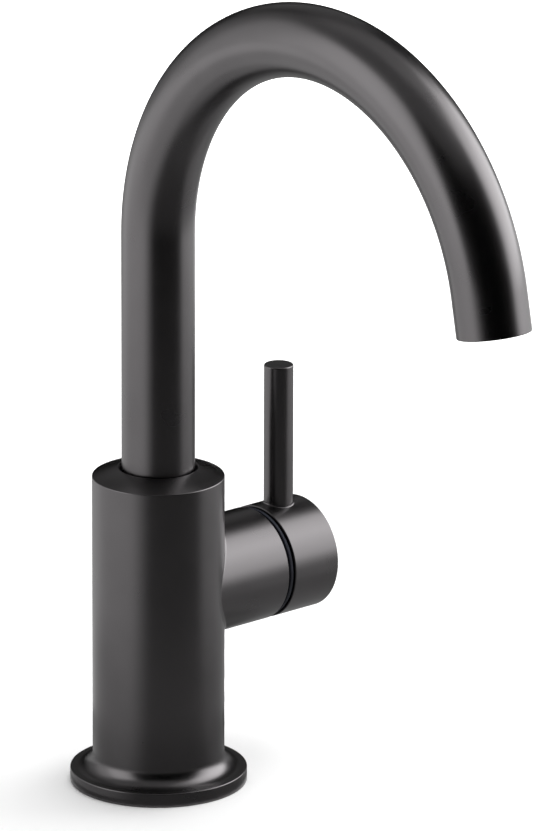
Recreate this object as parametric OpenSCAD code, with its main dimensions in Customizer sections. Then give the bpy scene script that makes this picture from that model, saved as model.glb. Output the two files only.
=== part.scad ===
// Beverage faucet: a swivelling gooseneck spout on an upright body, with a quarter-turn valve in
// a boss on its side and a rod lever on the handle. The origin is at the centre of the foot's
// underside, where it stands on the deck. +Z is up, the spout reaches towards -Y, and the handle
// is on the +X side. The deck clamp hangs below the deck.

/* [Body] */
// Outside diameter of the upright body
body_d = 40.1; // [38.5:0.1:50]
// Height of the body's rim above the deck
body_h = 97; // [90:0.5:120]
// Rise of the crown from the rim to the spout
crown_h = 3; // [2:0.1:5]
// Wall of the body around its bore
body_wall = 3; // [2.4:0.1:3.4]
// Depth from the rim down to the shoulder that the spout guide seats on
top_wall = 11; // [9:0.1:12]
// How far the foot stands out from the body
foot_lip = 6.85; // [5.5:0.05:14]
// Thickness of the foot
foot_t = 4.4; // [3.5:0.1:7]
// Radius of the fillet between the foot and the body
foot_fillet = 5; // [2:0.1:5.2]
// Break on every turned outside edge
edge_break = 0.4; // [0.2:0.05:0.8]

/* [Spout] */
// Outside diameter of the spout tube
tube_d = 22.2; // [21.4:0.1:24]
// Wall of the spout tube
tube_wall = 1.2; // [0.9:0.05:1.3]
// Height above the deck at which the bend starts
riser_h = 173.2; // [140:0.1:240]
// Radius of the bend, at the tube's centreline
bend_r = 73.8; // [45:0.1:110]
// Angle that the tube turns through
bend_angle = 168.8; // [120:0.1:180]
// Straight stretch between the bend and the outlet
tail_len = 11.9; // [11.5:0.1:40]
// Length of the swivel stub below the tube
stub_len = 12.2; // [11.8:0.1:13]
// Height of the stub's collar, which the tube stands on
collar_h = 3; // [2:0.1:5]
// Length of the stub's spigot that is brazed into the tube
spigot_len = 14; // [8:0.5:24]
// Width of the waterway through the stub
stub_bore_d = 10; // [6:0.1:10.4]

/* [Handle] */
// Diameter of the boss and of the handle's barrel
barrel_d = 34.8; // [34:0.1:36.4]
// Depth of the handle's axis below the rim
handle_drop = 36.1; // [35:0.1:42]
// How far the boss stands out from the body
boss_reach = 17.45; // [16:0.05:24]
// Width of the groove between the boss and the barrel
groove_w = 2.7; // [1.5:0.1:4]
// Length of the barrel
barrel_len = 17.45; // [15:0.05:30]
// Diameter of the lever rod
lever_d = 9; // [7:0.1:11]
// Height of the lever's tip above the handle's axis
lever_h = 61.3; // [35:0.1:100]
// Distance from the barrel's inner end to the lever's axis
lever_inset = 8.15; // [7.5:0.05:8.8]
// Angle that the handle turns through from shut to fully open
handle_turn = 90; // [60:5:100]

/* [Valve] */
// Diameter of the cartridge's socket in the core
socket_d = 18; // [17.6:0.1:19]
// Diameter of the ceramic discs
disc_d = 12.8; // [12:0.1:13.2]
// Thickness of each ceramic disc
disc_t = 2.6; // [2:0.1:2.8]
// Thickness of the seat seal
seal_t = 1.8; // [1.4:0.1:2]
// Diameter of the valve stem
stem_d = 7; // [6.4:0.1:7.4]
// Width across the flats of the stem's square end
square_w = 4.8; // [4:0.1:5]
// Width of the water channels in the core
channel_d = 6; // [4:0.1:6.4]

/* [Mounting] */
// Thickness of the deck that the faucet is drawn clamped to
deck_t = 30; // [6:0.5:38]
// Outside diameter of the mounting shank
shank_d = 24; // [21:0.1:27]
// Wall of the mounting shank
shank_wall = 3; // [2:0.1:3.4]
// Length of the shank below the deck's top
shank_len = 62; // [60:0.5:90]
// Pitch of the shank's thread
shank_pitch = 2; // [1.5:0.1:3]
// Outside diameter of the washers below the deck
washer_d = 46; // [38:0.5:52]
// Thickness of the friction washer
friction_t = 2.5; // [1.5:0.1:4]
// Thickness of the steel washer
clamp_t = 1.6; // [1:0.1:3]
// Thickness of the mounting nut
nut_t = 8; // [6:0.1:9]
// Thickness of the deck gasket
gasket_t = 2; // [1:0.1:3]
// Outside diameter of the inlet tube
inlet_d = 10; // [9:0.1:11]
// Diameter of the supply thread, over its crests
supply_d = 14.28; // [13:0.01:16]
// Length of the supply thread
supply_len = 12; // [8:0.5:20]
// Pitch of the supply thread
supply_pitch = 1.06; // [1:0.02:1.5]

/* [Fits] */
// Running clearance of a shaft in its bore, on the radius
run_gap = 0.05; // [0.02:0.01:0.09]
// Clearance between pieces that go together and don't turn, on the radius
seat_gap = 0.07; // [0.02:0.01:0.15]
// Clearance of moving pieces that pass each other
free_gap = 0.3; // [0.2:0.05:0.4]
// Air gap between the tube and the lip of the crown
lip_gap = 0.45; // [0.3:0.05:0.8]

/* [Hidden] */
$fn = 96;
past = 1;

// Radii
body_r = body_d / 2;
foot_r = body_r + foot_lip;
bore_r = body_r - body_wall;
core_r = bore_r - seat_gap;
tube_r = tube_d / 2;
tube_in_r = tube_r - tube_wall;
barrel_r = barrel_d / 2;
lever_r = lever_d / 2;
shank_r = shank_d / 2;
stem_r = stem_d / 2;
disc_r = disc_d / 2;
channel_r = channel_d / 2;
inlet_r = inlet_d / 2;
supply_r = supply_d / 2;
gasket_r = foot_r - 3.5;
washer_r = washer_d / 2;
washer_hole_r = shank_r + free_gap;

// Heights
handle_z = body_h - handle_drop;
core_top = body_h - top_wall;
core_drop = 31;
core_bottom = handle_z - core_drop;
washer_t = 1;
stub_z = core_top + washer_t + run_gap;
tube_z = stub_z + collar_h;
head_z = 6;
friction_z = -deck_t - friction_t;
clamp_z = friction_z - clamp_t;
nut_z = clamp_z - nut_t;

// Screw threads, as shares of their pitch
thread_deep = 0.54;
thread_crest = 0.14;
thread_root = 0.18;

// Spout stub and its socket
stub_r = tube_in_r - 2;
spout_socket_r = stub_r + run_gap;
spout_socket_depth = stub_len;
stub_foot = stub_z - stub_len + 0.6;
o_groove_w = 2;
o_cord_r = 0.7;
o_upper_z = stub_z - 3.2;
o_lower_z = o_upper_z - 3.3;
snap_t = 1.6;
snap_r = stub_r + 0.65;
snap_in_r = stub_r - 0.95;
snap_z = o_lower_z - 3;
snap_split = 3;

// Spout guide bush, in the top of the body
guide_in_r = tube_r + seat_gap;
guide_r = guide_in_r + 1.5;
guide_flange_t = 1.5;
guide_flange_r = bore_r - 0.6;
lip_t = 2;
lip_r = tube_r + lip_gap;
guide_top = body_h + crown_h - lip_t - 0.2;

// Outlet and aerator, measured along the flow from the outlet
insert_r = tube_in_r - run_gap;
insert_len = 11;
insert_inset = 0.6;
aerator_r = 8.25;
aerator_wall = 1.1;
aerator_lip = 1.2;
aerator_len = 9;
aerator_inset = 0.9;
aerator_seal_t = 1.5;
aerator_in_r = aerator_r - aerator_wall;
aerator_mouth_r = aerator_in_r - 0.9;
jet_r = 0.75;
jet_pitch = 2.25;
jet_rings = 2;
// The tail runs a little way back over the bend and is a hair fuller, so that they meet cleanly
tail_overlap = 0.3;
tail_step = 0.01;
outlet_y = -bend_r * (1 - cos(bend_angle)) - tail_len * sin(bend_angle);
outlet_z = riser_h + bend_r * sin(bend_angle) + tail_len * cos(bend_angle);

// Places along the handle's axis, from the body's axis
socket_r = socket_d / 2;
seat_x = -1;
fixed_x = seat_x + seal_t;
moving_x = fixed_x + disc_t + run_gap;
driver_x = moving_x + disc_t;
driver_t = 2.5;
driver_end = driver_x + driver_t;
nose_r = disc_r + 1;
nose_end = driver_end + free_gap;
spot_deep = 3.5;
flange_x = core_r - spot_deep;
flange_t = 4.5;
land_r = socket_r - run_gap;
land_groove_x = flange_x - 3.4;
boss_bore_r = barrel_r - 4.4;
nut_x = flange_x + flange_t;
cartridge_nut_t = 7;
boss_end = body_r + boss_reach;
neck_end = boss_end - 5.5;
neck_r = stem_r + 3;
stop_len = 2.5;
sleeve_len = 6;
ring_bore_r = neck_r + 2;
ring_face = boss_end + groove_w - free_gap;
ring_shoulder_r = barrel_r - 2.2;
rib_r = barrel_r - 0.4;
rib_w = groove_w * 0.4;
rib_x = boss_end + (groove_w - rib_w) * 0.65;
rib_break = 0.3;
barrel_x = boss_end + groove_w;
barrel_end = barrel_x + barrel_len;
spigot_r = barrel_r - 6;
spigot_reach = 3;
recess_deep = spigot_reach + free_gap;
square_deep = 9;
stem_groove_x = [flange_x + 5, flange_x + 9];
stem_groove_w = 1.5;
stem_cord_r = 0.475;
lever_x = barrel_x + lever_inset;

// Handle details
lever_seat = 5.5;
lever_thread_r = 3;
lever_thread_len = 6;
mouth_break = 0.5;
screw_r = 2;
screw_len = 8;
screw_key = 1;
screw_key_deep = 2.5;
screw_break = 0.3;
stop_lug = 40;
stop_play = 2;

// Lugs, ports and channels
slot_w = 3.2;
slot_deep = 1;
tongue_x = driver_x - slot_deep + 0.1;
port_angle = 76;
port_in = 1.9;
port_out = disc_r - 0.9;
window_angle = 70;
inlet_x = -6;
outlet_x = 4.2;
inlet_socket_r = inlet_r + 1.45;
inlet_socket_len = 11.5;
inlet_groove_z = core_bottom + 5;
hex_t = 3.5;
tube_foot_z = -shank_len - 2;
supply_z = tube_foot_z - hex_t - supply_len;
nipple_r = supply_r - 2.2;
strainer_z = supply_z + 0.4;
strainer_len = 6;

// Points of an arc about a centre, from one angle to another
function arc(at, r, from, to, steps = 8) =
    [for (i = [0 : steps]) let (a = from + (to - from) * i / steps) at + r * [cos(a), sin(a)]];

// A plain rod and a plain ring between two heights
module rod(r, low, high) {
    translate([0, 0, low]) cylinder(r = r, h = high - low);
}

module ring(r, hole_r, low, high) {
    difference() {
        rod(r, low, high);
        rod(hole_r, low - past, high + past);
    }
}

// A rod with both outside edges broken
module broken_rod(r, low, high, cut = edge_break) {
    rotate_extrude() polygon([[0, low], [r - cut, low], [r, low + cut],
        [r, high - cut], [r - cut, high], [0, high]]);
}

// A rod with a screw thread, drawn as a row of grooves
module threaded_rod(r, low, high, pitch) {
    root_r = r - thread_deep * pitch;
    flank = (1 - thread_crest - thread_root) / 2;
    turns = floor((high - low) / pitch);
    rotate_extrude() polygon(concat([[0, low], [root_r, low]],
        [for (i = [0 : turns - 1]) each [[root_r, low + (i + thread_root) * pitch],
            [r, low + (i + thread_root + flank) * pitch], [r, low + (i + 1 - flank) * pitch],
            [root_r, low + (i + 1) * pitch]]],
        [[root_r, high], [0, high]]));
}

module o_ring(mid_r, cord_r, z) {
    translate([0, 0, z]) rotate_extrude() translate([mid_r, 0]) circle(r = cord_r, $fn = 32);
}

// A slice of a ring between two angles
module sector(r, hole_r, from, to, low, high) {
    translate([0, 0, low]) rotate([0, 0, from]) rotate_extrude(angle = to - from)
        translate([hole_r, 0]) square([r - hole_r, high - low]);
}

// Local z runs out along the handle's axis, local -x is up
module on_handle_axis() {
    translate([0, 0, handle_z]) rotate([0, 90, 0]) children();
}

// Local z runs with the flow, from the outlet's face
module at_outlet() {
    translate([0, outlet_y, outlet_z]) rotate([bend_angle, 0, 0]) children();
}

// The outside of the body: foot, fillet, upright and crown
module body_outside() {
    fillet_at = [body_r + foot_fillet, foot_t + foot_fillet];
    rim_r = body_r - edge_break;
    crown_r = (rim_r * rim_r - tube_r * tube_r + crown_h * crown_h) / (2 * crown_h);
    dome_r = norm([rim_r, crown_r - crown_h]);
    dome_at = [0, body_h + crown_h - sqrt(dome_r * dome_r - tube_r * tube_r)];
    rotate_extrude() polygon(concat(
        [[0, 0], [foot_r - edge_break, 0], [foot_r, edge_break],
         [foot_r, foot_t - edge_break], [foot_r - edge_break, foot_t]],
        arc(fillet_at, foot_fillet, 270, 180),
        [[body_r, body_h - edge_break]],
        arc(dome_at, dome_r, acos(rim_r / dome_r), acos(tube_r / dome_r)),
        [[0, body_h + crown_h]]));
}

module body_shell() {
    color("#2b2a2b") difference() {
        union() {
            body_outside();
            on_handle_axis() rotate_extrude() polygon([[0, 0], [barrel_r, 0],
                [barrel_r, boss_end - edge_break], [barrel_r - edge_break, boss_end],
                [0, boss_end]]);
        }
        rod(bore_r, -past, core_top + guide_flange_t);
        rod(guide_r + seat_gap, core_top, guide_top + seat_gap);
        rod(lip_r, core_top, body_h + crown_h + past);
        rod(gasket_r, -past, gasket_t);
        on_handle_axis() rod(boss_bore_r, bore_r / 2, boss_end + past);
    }
}

module waterway_core() {
    socket_floor = core_top - spout_socket_depth;
    chamber_top = handle_z + socket_r;
    color("#c8a866") difference() {
        rod(core_r, core_bottom, core_top);
        // Socket of the spout, with the groove that its split ring snaps into
        rod(spout_socket_r, socket_floor, core_top + past);
        rod(snap_r + seat_gap, snap_z - free_gap, snap_z + snap_t + free_gap);
        // Socket of the cartridge, and the flat that its flange seats on
        on_handle_axis() rod(socket_r, seat_x, core_r + past);
        on_handle_axis() rod(boss_bore_r, flange_x, core_r + past);
        // Socket of the inlet tube, and the channels in and out
        rod(inlet_socket_r + run_gap, core_bottom - past, core_bottom + inlet_socket_len);
        translate([inlet_x, 0, 0])
            rod(channel_r, core_bottom + inlet_socket_len - past, handle_z + channel_r);
        on_handle_axis() rod(channel_r, inlet_x, seat_x + past);
        translate([outlet_x, 0, 0])
            rod(channel_r, chamber_top - past, socket_floor + past);
    }
}

module spout_guide_bush() {
    color("#19191b") union() {
        ring(guide_r, guide_in_r, core_top, guide_top);
        ring(guide_flange_r, guide_in_r, core_top, core_top + guide_flange_t);
    }
}

module spout_thrust_washer() {
    color("#e8e4da") ring(tube_r - free_gap, spout_socket_r + free_gap,
        core_top, core_top + washer_t);
}

module deck_gasket() {
    color("#1d1d1f") ring(gasket_r - seat_gap, washer_hole_r, 0, gasket_t);
}

module mounting_shank() {
    neck_len = 2;
    wrench_slots = 2;
    wrench_r = shank_r + 1;
    wrench_w = 5;
    wrench_deep = 3;
    color("#b9994f") difference() {
        union() {
            rod(core_r, head_z, core_bottom);
            rod(shank_r, -neck_len, head_z + past);
            threaded_rod(shank_r, -shank_len, 0, shank_pitch);
        }
        rod(shank_r - shank_wall, -shank_len - past, core_bottom + past);
        // Slots of the pin wrench that drives it home
        for (i = [0 : wrench_slots - 1]) rotate([0, 0, i * 360 / wrench_slots])
            translate([wrench_r, -wrench_w / 2, head_z - past])
                cube([bore_r, wrench_w, wrench_deep + past]);
    }
}

module friction_washer() {
    color("#1d1d1f") ring(washer_r, washer_hole_r, friction_z, -deck_t);
}

module clamp_washer() {
    color("#b8babd") ring(washer_r, washer_hole_r, clamp_z, friction_z);
}

module mounting_nut() {
    collar_t = 1.5;
    corner_r = shank_r + 8;
    color("#b9994f") difference() {
        union() {
            rod(corner_r, clamp_z - collar_t, clamp_z);
            rod(corner_r, nut_z, clamp_z - collar_t, $fn = 6);
        }
        threaded_rod(shank_r + seat_gap, -shank_len, 0, shank_pitch);
    }
}

module inlet_tube() {
    bore_r = inlet_r - 1.8;
    top = core_bottom + inlet_socket_len - past;
    hex_r = shank_r - shank_wall - free_gap;
    foot_hex_r = supply_r + 2;
    color("#b9994f") difference() {
        union() {
            rod(inlet_r, tube_foot_z, top);
            // Spigot in the core, with its groove, and the hexagon that is tightened against it
            difference() {
                rod(inlet_socket_r, core_bottom, top);
                ring(inlet_socket_r + past, inlet_r, inlet_groove_z, inlet_groove_z + o_groove_w);
            }
            rod(hex_r, core_bottom - hex_t, core_bottom, $fn = 6);
            rod(foot_hex_r, tube_foot_z - hex_t, tube_foot_z, $fn = 6);
            threaded_rod(supply_r, supply_z, tube_foot_z - past, supply_pitch);
        }
        rod(bore_r, supply_z - past, top + past);
        rod(nipple_r, supply_z - past, strainer_z + strainer_len);
    }
}

module inlet_o_ring() {
    cord_r = (inlet_socket_r - inlet_r) / 2;
    color("#1d1d1f") o_ring(inlet_r + cord_r, cord_r, inlet_groove_z + o_groove_w / 2);
}

module inlet_strainer() {
    cup_r = nipple_r - seat_gap;
    cup_wall = 0.6;
    hole_r = 0.4;
    pitch = 1.15;
    rings = 2;
    color("#b8babd") difference() {
        rod(cup_r, strainer_z, strainer_z + strainer_len);
        rod(cup_r - cup_wall, strainer_z - past, strainer_z + strainer_len - cup_wall);
        hole_grid(hole_r, pitch, rings, strainer_z, strainer_z + strainer_len + past);
    }
}

// Round holes in rings of six, twelve, eighteen and so on about one in the middle
module hole_grid(r, pitch, rings, low, high) {
    rod(r, low, high, $fn = 24);
    for (k = [1 : rings]) for (i = [0 : 6 * k - 1])
        rotate([0, 0, i * 60 / k]) translate([k * pitch, 0, 0]) rod(r, low, high, $fn = 24);
}

module cartridge_housing() {
    open_from = 180 - stop_lug / 2 - stop_play;
    open_to = 180 + handle_turn + stop_lug / 2 + stop_play;
    color("#c8a866") on_handle_axis() difference() {
        union() {
            rod(nose_r, seat_x + seat_gap, nose_end + past);
            rod(land_r, nose_end, flange_x);
            rod(boss_bore_r - seat_gap, flange_x, flange_x + flange_t);
            rod(neck_r, flange_x, neck_end + stop_len);
        }
        // The stem's lug swings in this gap and meets a stop at each end of its turn
        sector(neck_r + past, 0, open_from, open_to, neck_end, neck_end + stop_len + past);
        rod(disc_r + run_gap, seat_x - past, nose_end);
        rod(stem_r + run_gap, seat_x, neck_end + past);
        rod(stem_r + free_gap, neck_end, neck_end + stop_len + past);
        // Windows that let the water out behind the fixed disc
        for (side = [90, 270])
            sector(nose_r + past, disc_r - past, side - window_angle / 2, side + window_angle / 2,
                moving_x, driver_end - free_gap);
        ring(land_r + past, land_r - 2 * o_cord_r, land_groove_x, land_groove_x + o_groove_w);
    }
}

module seat_seal() {
    color("#1d1d1f") on_handle_axis() ring(disc_r, port_out + seat_gap, seat_x, fixed_x);
}

// A ceramic disc with two ports, centred on the given angles
module ceramic_disc(low, angles) {
    difference() {
        rod(disc_r, low, low + disc_t);
        for (a = angles)
            sector(port_out, port_in, a - port_angle / 2, a + port_angle / 2,
                low - past, low + disc_t + past);
    }
}

module fixed_disc() {
    color("#e9e9e6") on_handle_axis() ceramic_disc(fixed_x, [0, 180]);
}

module moving_disc() {
    color("#d9d9d6") on_handle_axis() difference() {
        ceramic_disc(moving_x, [90, 270]);
        translate([-disc_d, -slot_w / 2, moving_x + disc_t - slot_deep])
            cube([2 * disc_d, slot_w, slot_deep + past]);
    }
}

module cartridge_o_ring() {
    color("#1d1d1f") on_handle_axis()
        o_ring(land_r - o_cord_r, o_cord_r, land_groove_x + o_groove_w / 2);
}

module cartridge_nut() {
    hex_r = boss_bore_r - 2;
    hex_deep = 4;
    color("#b9994f") on_handle_axis() difference() {
        rod(boss_bore_r - seat_gap, nut_x, nut_x + cartridge_nut_t);
        rod(neck_r + free_gap, nut_x - past, nut_x + cartridge_nut_t + past);
        rod(hex_r, nut_x + cartridge_nut_t - hex_deep, nut_x + cartridge_nut_t + past, $fn = 6);
    }
}

module handle_trim_ring() {
    color("#19191b") on_handle_axis() difference() {
        union() {
            rod(boss_bore_r - seat_gap, boss_end - sleeve_len, boss_end + run_gap);
            rod(ring_shoulder_r, boss_end, ring_face);
            broken_rod(rib_r, rib_x, rib_x + rib_w, rib_break);
            rod(spigot_r, ring_face, barrel_x + spigot_reach);
        }
        rod(ring_bore_r, boss_end - sleeve_len - past, barrel_x + spigot_reach + past);
    }
}

// The tube's centreline swept with a circle: riser, bend and tail
module spout_path(r, low, reach = 0) {
    rod(r, low, riser_h);
    translate([0, -bend_r, riser_h]) rotate([90, 0, 90]) {
        rotate_extrude(angle = bend_angle) translate([bend_r, 0]) circle(r = r);
        rotate([0, 0, bend_angle]) translate([bend_r, 0, 0]) rotate([-90, 0, 0])
            rod(r + tail_step, -tail_overlap, tail_len + reach);
    }
}

module spout_tube() {
    color("#2b2a2b") difference() {
        spout_path(tube_r, tube_z);
        spout_path(tube_in_r, tube_z - past, past);
    }
}

module swivel_stub() {
    color("#c8a866") difference() {
        union() {
            rod(stub_r, stub_foot, stub_z);
            rod(tube_r - seat_gap, stub_z, tube_z);
            rod(insert_r, tube_z, tube_z + spigot_len);
        }
        rod(stub_bore_d / 2, stub_foot - past, tube_z + spigot_len + past);
        for (z = [o_upper_z, o_lower_z])
            ring(stub_r + past, stub_r - 2 * o_cord_r, z - o_groove_w / 2, z + o_groove_w / 2);
        ring(stub_r + past, snap_in_r - seat_gap, snap_z - seat_gap, snap_z + snap_t + seat_gap);
    }
}

module spout_o_ring(z) {
    color("#1d1d1f") o_ring(stub_r - o_cord_r, o_cord_r, z);
}

module upper_spout_o_ring() {
    spout_o_ring(o_upper_z);
}

module lower_spout_o_ring() {
    spout_o_ring(o_lower_z);
}

module spout_snap_ring() {
    color("#e8e4da") difference() {
        ring(snap_r, snap_in_r, snap_z, snap_z + snap_t);
        translate([0, -snap_split / 2, snap_z - past])
            cube([snap_r + past, snap_split, snap_t + 2 * past]);
    }
}

module outlet_insert() {
    color("#c8a866") at_outlet()
        ring(insert_r, aerator_r + seat_gap, -insert_inset - insert_len, -insert_inset);
}

module aerator_shell() {
    bottom = -aerator_inset;
    color("#8f9194") at_outlet() difference() {
        rod(aerator_r, bottom - aerator_len, bottom);
        rod(aerator_in_r, bottom - aerator_len - past, bottom - aerator_lip);
        rod(aerator_mouth_r, bottom - aerator_len, bottom + past);
    }
}

module aerator_insert() {
    bottom = -aerator_inset - aerator_lip;
    color("#c9ccd0") at_outlet() difference() {
        rod(aerator_in_r - seat_gap, bottom - aerator_len + aerator_lip, bottom);
        hole_grid(jet_r, jet_pitch, jet_rings, bottom - aerator_len - past, bottom + past);
    }
}

module aerator_seal() {
    top = -aerator_inset - aerator_len;
    color("#1d1d1f") at_outlet()
        ring(aerator_r - seat_gap, aerator_mouth_r, top - aerator_seal_t, top);
}

module handle_barrel() {
    mouth_z = sqrt(barrel_r * barrel_r - lever_r * lever_r);
    color("#2b2a2b") difference() {
        on_handle_axis() difference() {
            broken_rod(barrel_r, barrel_x, barrel_end);
            rod(spigot_r + free_gap, barrel_x - past, barrel_x + recess_deep);
            translate([-square_w / 2 - run_gap, -square_w / 2 - run_gap, barrel_x])
                cube([square_w + 2 * run_gap, square_w + 2 * run_gap, recess_deep + square_deep]);
        }
        translate([lever_x, 0, handle_z]) {
            // Seat of the lever, its thread and the countersink at its mouth
            rod(lever_r + run_gap, barrel_r - lever_seat, barrel_r + past);
            rod(lever_thread_r + run_gap, barrel_r - lever_seat - lever_thread_len, barrel_r);
            translate([0, 0, mouth_z - mouth_break])
                cylinder(r1 = lever_r, r2 = lever_r + 2 * mouth_break, h = 2 * mouth_break);
            // Hole of the set screw, from below
            rod(screw_r + run_gap, -barrel_r - past, 0);
        }
    }
}

module lever_rod() {
    foot = barrel_r - lever_seat;
    color("#2b2a2b") translate([lever_x, 0, handle_z]) union() {
        broken_rod(lever_r, foot, lever_h);
        rod(lever_thread_r, foot - lever_thread_len + free_gap, foot + edge_break);
    }
}

module handle_set_screw() {
    tip = -square_w / 2;
    color("#6f7174") translate([lever_x, 0, handle_z]) difference() {
        broken_rod(screw_r, tip - screw_len, tip, screw_break);
        rod(screw_key, tip - screw_len - past, tip - screw_len + screw_key_deep, $fn = 6);
    }
}

module valve_stem() {
    stem_end = barrel_x + recess_deep + square_deep - 0.5;
    square_from = barrel_x + spigot_reach - 2;
    bar_w = slot_w - 0.2;
    bar_r = disc_r - 0.2;
    color("#c8a866") on_handle_axis() union() {
        difference() {
            rod(stem_r, driver_x + run_gap, square_from);
            for (x = stem_groove_x)
                ring(stem_r + past, stem_r - 2 * stem_cord_r,
                    x - stem_groove_w / 2, x + stem_groove_w / 2);
        }
        translate([-square_w / 2, -square_w / 2, square_from - past])
            cube([square_w, square_w, stem_end - square_from + past]);
        // Driver bar, with the tongue that turns the moving disc
        intersection() {
            rod(bar_r, tongue_x, driver_end);
            translate([-disc_r, -bar_w / 2, tongue_x])
                cube([disc_d, bar_w, driver_t + slot_deep]);
        }
        // Lug that meets the housing's stop
        sector(neck_r - free_gap, stem_r - 0.5, 180 - stop_lug / 2, 180 + stop_lug / 2,
            neck_end + free_gap, neck_end + stop_len - free_gap);
    }
}

module stem_o_ring(x) {
    color("#1d1d1f") on_handle_axis() o_ring(stem_r - stem_cord_r, stem_cord_r, x);
}

module inner_stem_o_ring() {
    stem_o_ring(stem_groove_x[0]);
}

module outer_stem_o_ring() {
    stem_o_ring(stem_groove_x[1]);
}

body_shell();
waterway_core();
spout_guide_bush();
spout_thrust_washer();
deck_gasket();
mounting_shank();
friction_washer();
clamp_washer();
mounting_nut();
inlet_tube();
inlet_o_ring();
inlet_strainer();
cartridge_housing();
seat_seal();
fixed_disc();
cartridge_o_ring();
cartridge_nut();
handle_trim_ring();
spout_tube();
swivel_stub();
upper_spout_o_ring();
lower_spout_o_ring();
spout_snap_ring();
outlet_insert();
aerator_shell();
aerator_insert();
aerator_seal();
handle_barrel();
lever_rod();
handle_set_screw();
valve_stem();
moving_disc();
inner_stem_o_ring();
outer_stem_o_ring();
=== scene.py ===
# Beverage faucet: a satin black gooseneck spout on an upright body, with a rod lever on a round
# handle at its side. The pieces are written in millimetres, which become metres when a mesh is
# made, and the camera and the studio in metres. The deck's top is at z = 0, the spout reaches
# towards -Y and the handle is on the +X side.

import math

import bmesh
import bpy
import numpy as np
from mathutils import Matrix, Vector


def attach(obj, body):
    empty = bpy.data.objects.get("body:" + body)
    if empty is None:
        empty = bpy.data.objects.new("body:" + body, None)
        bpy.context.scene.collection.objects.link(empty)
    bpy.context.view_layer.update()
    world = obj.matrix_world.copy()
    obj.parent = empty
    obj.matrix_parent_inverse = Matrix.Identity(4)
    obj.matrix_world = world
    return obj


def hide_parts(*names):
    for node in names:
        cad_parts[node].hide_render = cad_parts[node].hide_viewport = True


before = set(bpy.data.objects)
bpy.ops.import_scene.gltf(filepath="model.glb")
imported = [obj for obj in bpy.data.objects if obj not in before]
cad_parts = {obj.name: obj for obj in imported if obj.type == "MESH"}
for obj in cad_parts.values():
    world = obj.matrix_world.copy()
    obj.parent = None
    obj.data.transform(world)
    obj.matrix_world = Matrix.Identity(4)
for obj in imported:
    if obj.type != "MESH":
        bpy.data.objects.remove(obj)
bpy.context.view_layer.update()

MM = 0.001

# Points of a mesh that lie closer than this are one point
weld_gap = 0.004

# Fits, on the radius
run_gap = 0.05
seat_gap = 0.07
free_gap = 0.3
lip_gap = 0.45

# Edges: turned corners, two sizes, and three sizes of break on the rest
edge_r = 0.35
small_edge_r = 0.15
soft_break = 0.3
fine_break = 0.2
crisp_break = 0.1

# Body
body_r = 20.05
body_wall = 3.0
bore_r = body_r - body_wall
rim_z = 97.0
crown_h = 3.0
top_wall = 11.0
foot_lip = 6.85
foot_r = body_r + foot_lip
foot_t = 4.4
foot_fillet = 5.0
foot_rim_w = 3.5
recess_r = foot_r - foot_rim_w
gasket_t = 2.0

# Boss, groove and handle
barrel_r = 17.4
boss_wall = 4.4
boss_bore_r = barrel_r - boss_wall
boss_fillet = 1.3
handle_drop = 36.1
handle_z = rim_z - handle_drop
boss_reach = 17.45
boss_end = body_r + boss_reach
groove_w = 2.7
barrel_x = boss_end + groove_w
barrel_len = 17.45
barrel_end = barrel_x + barrel_len
spigot_r = barrel_r - 6
spigot_reach = 3.0
lever_r = 4.5
lever_inset = 8.15
lever_x = barrel_x + lever_inset
lever_seat = 5.5
lever_h = 61.3
screw_hole_r = 2.05

# Spout, whose tube stands on a washer and the collar of a stub
tube_r = 11.1
tube_wall = 1.2
tube_in_r = tube_r - tube_wall
tube_lift = 4.05
tube_z = rim_z - top_wall + tube_lift
riser_h = 173.2
bend_r = 73.8
bend_angle = math.radians(168.8)
tail_len = 11.9
guide_wall = 1.5
guide_r = tube_r + seat_gap + guide_wall
guide_drop = 2.2
guide_top = rim_z + crown_h - guide_drop
guide_flange_t = 1.5
shoulder_z = rim_z - top_wall + guide_flange_t

# Outlet pieces, measured back from the tube's face
insert_inset = 0.6
insert_len = 11.0
aerator_r = 8.25
aerator_wall = 1.1
aerator_in_r = aerator_r - aerator_wall
aerator_lip_w = 0.9
aerator_mouth_r = aerator_in_r - aerator_lip_w
aerator_inset = 0.9
aerator_len = 9.0
aerator_lip_t = 1.2

# Below the deck
deck_t = 30.0
core_drop = 31.0
core_bottom = handle_z - core_drop
shank_r = 12.0
shank_in_r = 9.0
shank_end = -62.0
shank_head_z = 6.0
shank_head_r = bore_r - seat_gap
washer_r = 23.0
friction_t = 2.5
friction_z = -deck_t - friction_t
clamp_t = 1.6
clamp_z = friction_z - clamp_t
nut_t = 8.0
nut_z = clamp_z - nut_t
nut_corner_r = 20.0
nut_collar_t = 1.5
inlet_r = 5.0
inlet_bore_r = 3.2
inlet_reach = 10.5
inlet_top = core_bottom + inlet_reach
inlet_collar_w = 1.45
socket_r = inlet_r + inlet_collar_w
hex_t = 3.5
tube_foot_z = shank_end - 2
supply_r = 7.14
supply_wall = 2.2
supply_bore_r = supply_r - supply_wall
supply_len = 12.0
supply_z = tube_foot_z - hex_t - supply_len
strainer_len = 6.4

# Screw threads: their pitches, and depth, crest and root as shares of the pitch
shank_pitch = 2.0
supply_pitch = 1.06
thread_deep = 0.54
thread_crest = 0.14
thread_root = 0.18


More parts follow.
